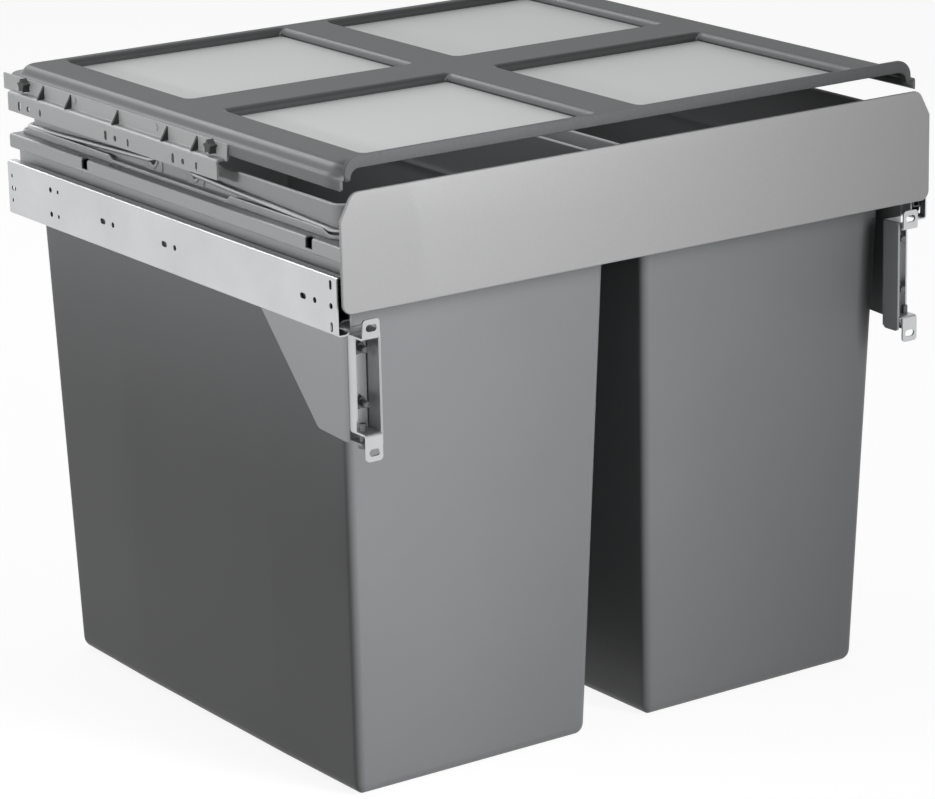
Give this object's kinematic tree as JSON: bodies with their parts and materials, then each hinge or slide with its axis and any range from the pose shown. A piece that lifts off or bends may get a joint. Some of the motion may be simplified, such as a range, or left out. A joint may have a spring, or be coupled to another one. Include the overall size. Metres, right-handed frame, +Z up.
{
  "type": "pull-out bin frame",
  "caption": "Pull-out waste frame for a base cabinet: tapered tubs with wire bails hang in a drawer frame on ball-bearing slides, under a fixed panelled lid, behind a steel front panel.",
  "frame": {"origin": "middle of the bounding box in plan, on the level of the tubs' bottoms", "axes": "+X to the right seen from the front, +Y to the back of the cabinet, +Z up"},
  "size_m": [0.568, 0.5206, 0.518],
  "materials": {
    "galvanised": "zinc plated, satin",
    "bright_steel": "bright zinc plated",
    "frame_paint": "fine powder coat, metallic grey",
    "panel_paint": "fine powder coat, light metallic grey",
    "bin_plastic": "moulded, satin",
    "lid_plastic": "moulded, finely grained",
    "inlay_plastic": "moulded, satin",
    "black_plastic": "moulded, matte"
  },
  "bodies": {
    "cabinet_side": {"cabinet_rail_left": "galvanised", "cabinet_rail_right": "galvanised", "lid_frame": "lid_plastic", "inlay_front_left": "inlay_plastic", "inlay_front_right": "inlay_plastic", "inlay_rear_left": "inlay_plastic", "inlay_rear_right": "inlay_plastic", "lid_bracket_left": "panel_paint", "lid_bracket_right": "panel_paint", "bracket_wedges_left": "black_plastic", "bracket_wedges_right": "black_plastic"},
    "drawer": {"drawer_rail_left": "galvanised", "drawer_rail_right": "galvanised", "slide_rivets_left": "bright_steel", "slide_rivets_right": "bright_steel", "frame_side_left": "frame_paint", "frame_side_right": "frame_paint", "front_panel": "panel_paint", "front_cross_rail": "frame_paint", "rear_cross_rail": "frame_paint", "centre_rail": "frame_paint", "gusset_left": "frame_paint", "gusset_right": "frame_paint", "clamp_studs_left": "bright_steel", "clamp_studs_right": "bright_steel", "height_screw_left": "bright_steel", "height_screw_right": "bright_steel"},
    "middle_rails": {"middle_rail_left": "bright_steel", "middle_rail_right": "bright_steel"},
    "outer_cages": {"outer_ball_cage_left": "bright_steel", "outer_ball_cage_right": "bright_steel"},
    "inner_cages": {"inner_ball_cage_left": "bright_steel", "inner_ball_cage_right": "bright_steel"},
    "left_bin": {"bin_left": "bin_plastic"},
    "left_front_bail": {"front_bail_left": "bright_steel"},
    "left_rear_bail": {"rear_bail_left": "bright_steel"},
    "left_door_bracket": {"door_bracket_left": "galvanised"},
    "left_front_knob": {"star_knob_front_left": "black_plastic"},
    "left_rear_knob": {"star_knob_rear_left": "black_plastic"},
    "right_bin": {"bin_right": "bin_plastic"},
    "right_front_bail": {"front_bail_right": "bright_steel"},
    "right_rear_bail": {"rear_bail_right": "bright_steel"},
    "right_door_bracket": {"door_bracket_right": "galvanised"},
    "right_front_knob": {"star_knob_front_right": "black_plastic"},
    "right_rear_knob": {"star_knob_rear_right": "black_plastic"}
  },
  "joints": [
    {"name": "drawer_slide", "type": "slide", "parent": "cabinet_side", "child": "drawer", "axis": [0, -1, 0], "range_m": [0, 0.5]},
    {"name": "middle_rail_slide", "type": "slide", "parent": "cabinet_side", "child": "middle_rails", "axis": [0, -1, 0], "range_m": [0, 0.25]},
    {"name": "outer_cage_slide", "type": "slide", "parent": "cabinet_side", "child": "outer_cages", "axis": [0, -1, 0], "range_m": [0, 0.125]},
    {"name": "inner_cage_slide", "type": "slide", "parent": "cabinet_side", "child": "inner_cages", "axis": [0, -1, 0], "range_m": [0, 0.375]},
    {"name": "left_bin_lift", "type": "slide", "parent": "drawer", "child": "left_bin", "axis": [0, 0, 1], "range_m": [0, 0.012]},
    {"name": "left_front_bail_swing", "type": "hinge", "parent": "left_bin", "child": "left_front_bail", "pos_m": [-0.13915, -0.0237, 0.466], "axis": [-1, 0, 0], "range_deg": [0, 8]},
    {"name": "left_rear_bail_swing", "type": "hinge", "parent": "left_bin", "child": "left_rear_bail", "pos_m": [-0.13915, 0.0393, 0.466], "axis": [1, 0, 0], "range_deg": [0, 8]},
    {"name": "left_door_bracket_height", "type": "slide", "parent": "drawer", "child": "left_door_bracket", "axis": [0, 0, 1], "range_m": [-0.003, 0.003]},
    {"name": "left_front_knob_turn", "type": "hinge", "parent": "cabinet_side", "child": "left_front_knob", "pos_m": [-0.277, -0.07375, 0.4976], "axis": [-1, 0, 0], "continuous": true},
    {"name": "left_rear_knob_turn", "type": "hinge", "parent": "cabinet_side", "child": "left_rear_knob", "pos_m": [-0.277, 0.22025, 0.4976], "axis": [-1, 0, 0], "continuous": true},
    {"name": "right_bin_lift", "type": "slide", "parent": "drawer", "child": "right_bin", "axis": [0, 0, 1], "range_m": [0, 0.012]},
    {"name": "right_front_bail_swing", "type": "hinge", "parent": "right_bin", "child": "right_front_bail", "pos_m": [0.13915, -0.0237, 0.466], "axis": [-1, 0, 0], "range_deg": [0, 8]},
    {"name": "right_rear_bail_swing", "type": "hinge", "parent": "right_bin", "child": "right_rear_bail", "pos_m": [0.13915, 0.0393, 0.466], "axis": [1, 0, 0], "range_deg": [0, 8]},
    {"name": "right_door_bracket_height", "type": "slide", "parent": "drawer", "child": "right_door_bracket", "axis": [0, 0, 1], "range_m": [-0.003, 0.003]},
    {"name": "right_front_knob_turn", "type": "hinge", "parent": "cabinet_side", "child": "right_front_knob", "pos_m": [0.277, -0.07375, 0.4976], "axis": [1, 0, 0], "continuous": true},
    {"name": "right_rear_knob_turn", "type": "hinge", "parent": "cabinet_side", "child": "right_rear_knob", "pos_m": [0.277, 0.22025, 0.4976], "axis": [1, 0, 0], "continuous": true}
  ],
  "couplings": [
    {"joint": "middle_rail_slide", "follows": "drawer_slide", "ratio": 0.5},
    {"joint": "outer_cage_slide", "follows": "drawer_slide", "ratio": 0.25},
    {"joint": "inner_cage_slide", "follows": "drawer_slide", "ratio": 0.75}
  ]
}
